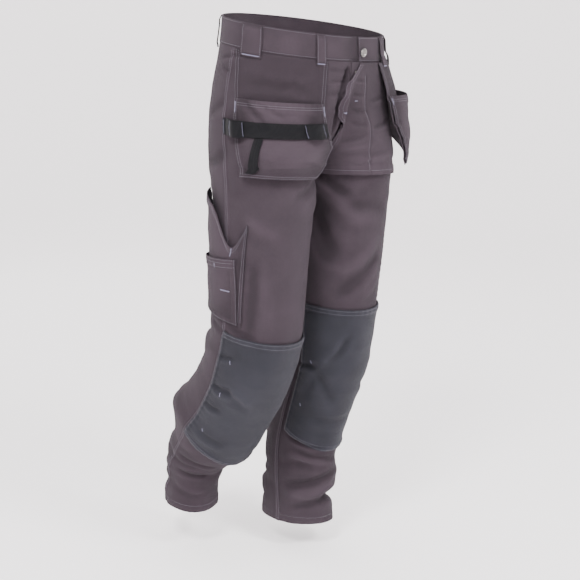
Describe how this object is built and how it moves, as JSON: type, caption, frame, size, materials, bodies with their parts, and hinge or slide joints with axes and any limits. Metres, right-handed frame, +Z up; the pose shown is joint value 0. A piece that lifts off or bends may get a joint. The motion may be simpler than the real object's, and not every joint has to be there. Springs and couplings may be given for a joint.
{
  "type": "cargo work trousers",
  "caption": "Work trousers with hanging holster pockets, a webbing tool band, long side pockets and knee pad pouches, hollow and posed as worn.",
  "frame": {"origin": "the middle of the waist opening, level with the waistband, where the wearer holds the trousers up", "axes": "+Z up, -Y to the front of the trousers, +X to the wearer's left"},
  "size_m": [0.4335, 0.4918, 1.0886],
  "materials": {
    "cloth": "matt warm grey twill",
    "pad_cloth": "matt slate twill, heavier",
    "webbing": "black ribbed webbing",
    "metal": "dull bright metal"
  },
  "bodies": {
    "root": {"right_front": "cloth", "right_back": "cloth", "left_front": "cloth", "left_back": "cloth", "left_front_apron": "cloth", "fly_shield": "cloth", "waistband": "cloth", "belt_loop_right_side": "cloth", "belt_loop_right_front": "cloth", "belt_loop_left_front": "cloth", "belt_loop_left_side": "cloth", "belt_loop_right_back": "cloth", "belt_loop_left_back": "cloth", "belt_loop_centre_back": "cloth", "right_holster_back": "cloth", "right_holster_pouch": "cloth", "left_holster_back": "cloth", "left_holster_pouch": "cloth", "right_cargo_pocket": "cloth", "left_cargo_pocket": "cloth", "right_ruler_pocket": "cloth", "left_ruler_pocket": "cloth", "right_knee_pouch": "pad_cloth", "left_knee_pouch": "pad_cloth", "right_tool_band": "webbing", "right_tool_loop_rear": "webbing", "right_tool_loop_front": "webbing", "right_tool_strap": "webbing", "waist_button": "metal", "zip_slider": "metal"}
  },
  "joints": []
}
